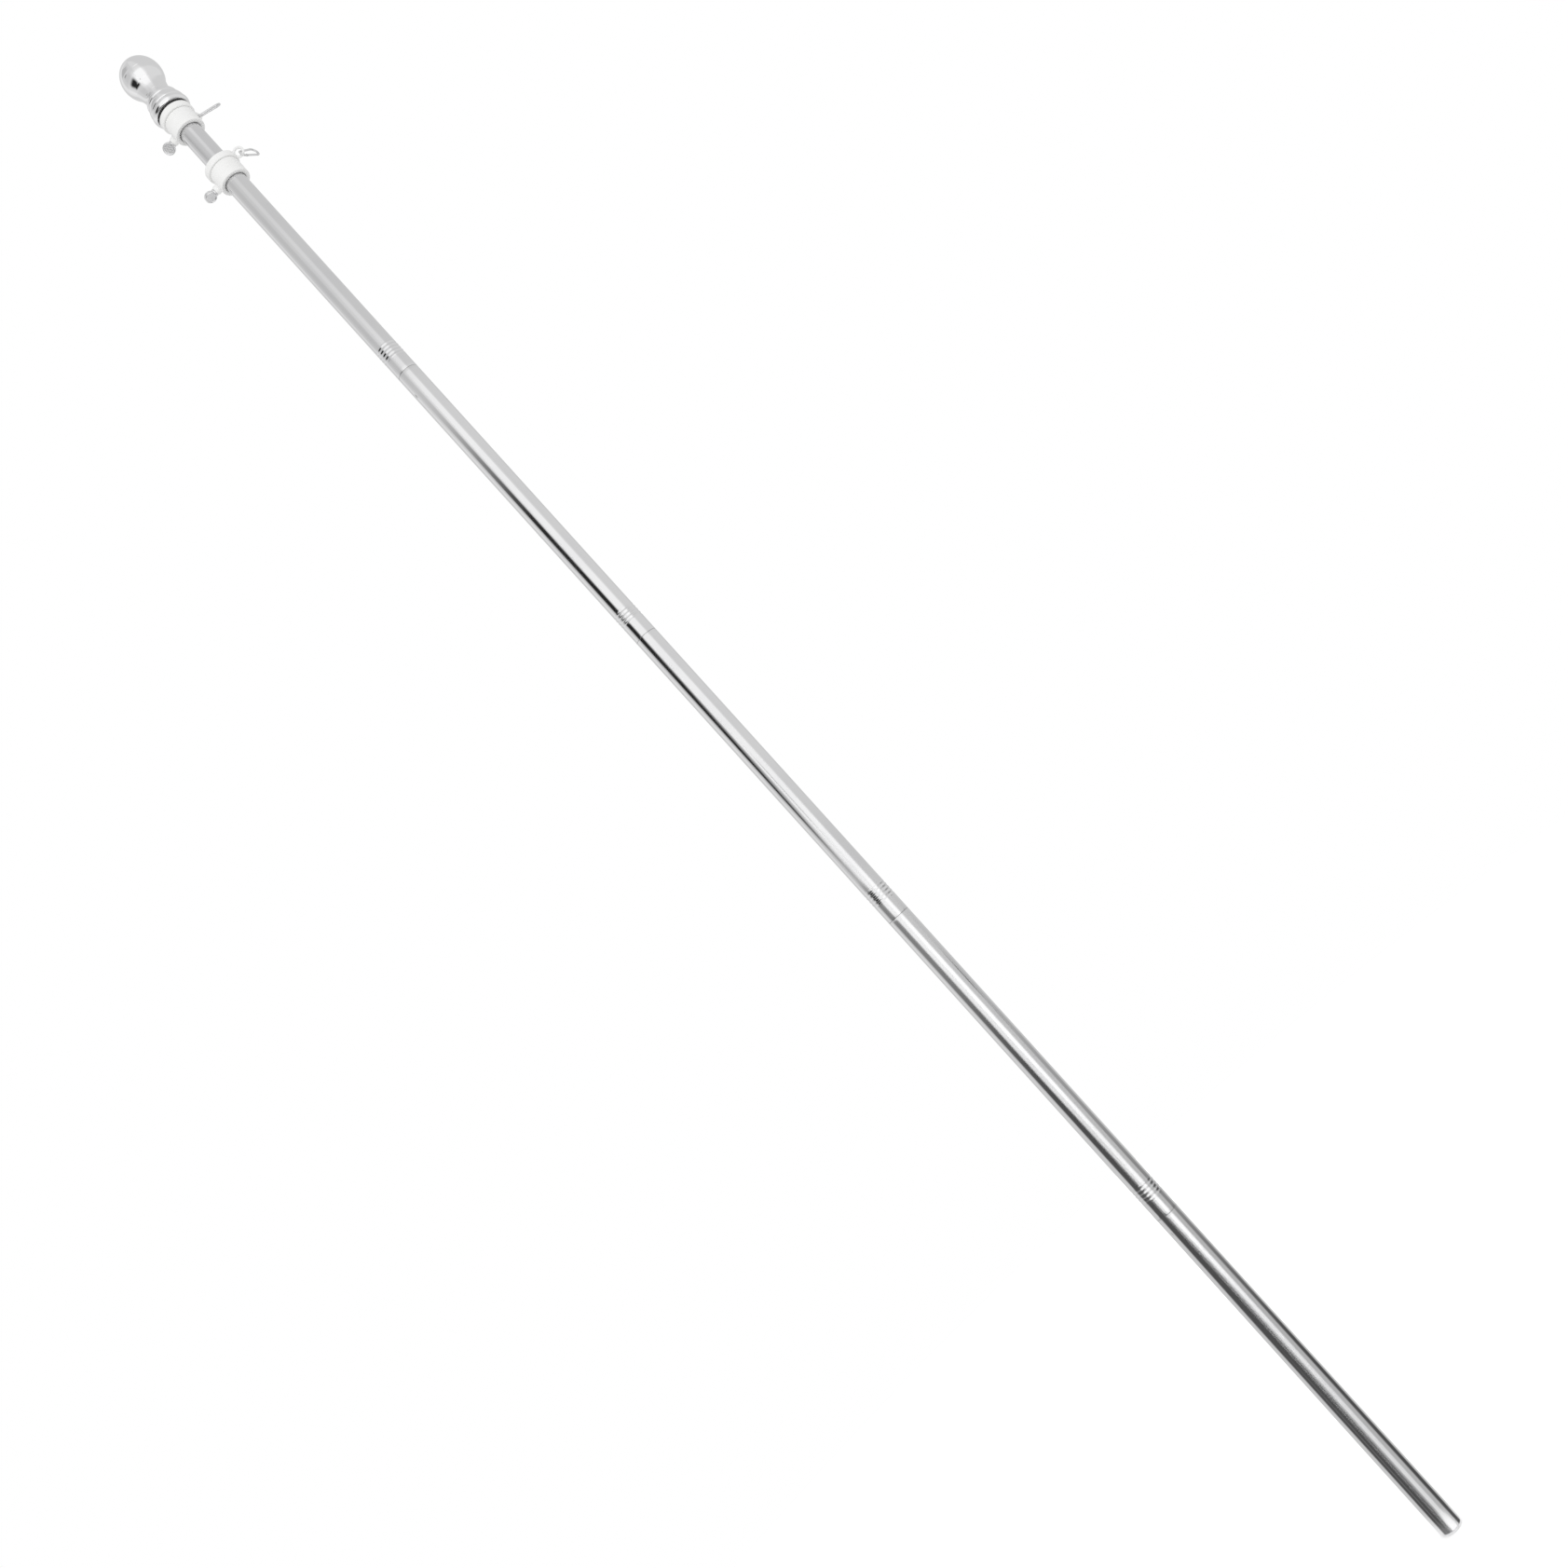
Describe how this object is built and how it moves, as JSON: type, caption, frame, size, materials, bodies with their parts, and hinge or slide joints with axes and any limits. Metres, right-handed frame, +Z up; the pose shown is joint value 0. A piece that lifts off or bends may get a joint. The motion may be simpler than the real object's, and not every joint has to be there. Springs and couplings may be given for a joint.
{
  "type": "sectional flagpole",
  "caption": "Slim polished steel flagpole in screwed sections with a ball finial and two clamped plastic collars whose free-turning rings carry snap clips.",
  "frame": {"origin": "middle of the pole's foot face", "axes": "+Z up the pole to the finial, +X towards the side the clips hang on, -Y towards the viewer"},
  "size_m": [0.0846, 0.0533, 2.048],
  "materials": {
    "pole_steel": "polished",
    "finial_chrome": "polished",
    "stud_steel": "satin",
    "plug_plastic": "matte",
    "collar_plastic": "satin",
    "screw_steel": "plated",
    "clip_steel": "polished"
  },
  "bodies": {
    "pole": {"pole_section_1": "pole_steel", "pole_section_2": "pole_steel", "pole_section_3": "pole_steel", "pole_section_4": "pole_steel", "pole_section_5": "pole_steel", "joint_plug_1": "plug_plastic", "joint_plug_2": "plug_plastic", "joint_plug_3": "plug_plastic", "joint_plug_4": "plug_plastic", "foot_plug": "plug_plastic", "top_plug": "plug_plastic", "finial_stud": "stud_steel", "finial_stem": "finial_chrome", "finial_ball": "finial_chrome"},
    "collar_upper": {"clamp_sleeve_upper": "collar_plastic", "ring_cap_upper": "collar_plastic"},
    "screw_upper": {"thumb_screw_upper": "screw_steel"},
    "ring_upper": {"spin_ring_upper": "collar_plastic"},
    "clip_upper": {"clip_frame_upper": "clip_steel"},
    "gate_upper": {"clip_gate_upper": "clip_steel", "clip_rivet_upper": "clip_steel"},
    "collar_lower": {"clamp_sleeve_lower": "collar_plastic", "ring_cap_lower": "collar_plastic"},
    "screw_lower": {"thumb_screw_lower": "screw_steel"},
    "ring_lower": {"spin_ring_lower": "collar_plastic"},
    "clip_lower": {"clip_frame_lower": "clip_steel"},
    "gate_lower": {"clip_gate_lower": "clip_steel", "clip_rivet_lower": "clip_steel"}
  },
  "joints": [
    {"name": "collar_upper_slide", "type": "slide", "parent": "pole", "child": "collar_upper", "axis": [0, 0, 1], "range_m": [-0.022, 0]},
    {"name": "screw_upper_turn", "type": "hinge", "parent": "collar_upper", "child": "screw_upper", "pos_m": [-0.02194, 0.00755, 1.948], "axis": [-0.9455, 0.3256, 0], "continuous": true},
    {"name": "ring_upper_spin", "type": "hinge", "parent": "collar_upper", "child": "ring_upper", "pos_m": [0, 0, 1.9614], "axis": [0, 0, 1], "continuous": true},
    {"name": "clip_upper_swing", "type": "hinge", "parent": "ring_upper", "child": "clip_upper", "pos_m": [0.01617, 0.01814, 1.9614], "axis": [0.7466, -0.6652, 0], "range_deg": [-95, 65]},
    {"name": "gate_upper_open", "type": "hinge", "parent": "clip_upper", "child": "gate_upper", "pos_m": [0.02195, 0.02562, 1.96306], "axis": [-0.1704, 0.4664, -0.868], "range_deg": [0, 20], "stiffness_Nm_per_rad": 0.02},
    {"name": "collar_lower_slide", "type": "slide", "parent": "pole", "child": "collar_lower", "axis": [0, 0, 1], "range_m": [-1.7, 0.02]},
    {"name": "screw_lower_turn", "type": "hinge", "parent": "collar_lower", "child": "screw_lower", "pos_m": [-0.02297, 0.00323, 1.8679], "axis": [-0.9903, 0.1392, 0], "continuous": true},
    {"name": "ring_lower_spin", "type": "hinge", "parent": "collar_lower", "child": "ring_lower", "pos_m": [0, 0, 1.8813], "axis": [0, 0, 1], "continuous": true},
    {"name": "clip_lower_swing", "type": "hinge", "parent": "ring_lower", "child": "clip_lower", "pos_m": [0.02427, -0.00127, 1.8813], "axis": [-0.0523, -0.9986, 0], "range_deg": [-40, 110]},
    {"name": "gate_lower_open", "type": "hinge", "parent": "clip_lower", "child": "gate_lower", "pos_m": [0.02902, 0.00082, 1.87353], "axis": [0.8256, -0.5408, 0.1609], "range_deg": [0, 20], "stiffness_Nm_per_rad": 0.02}
  ]
}
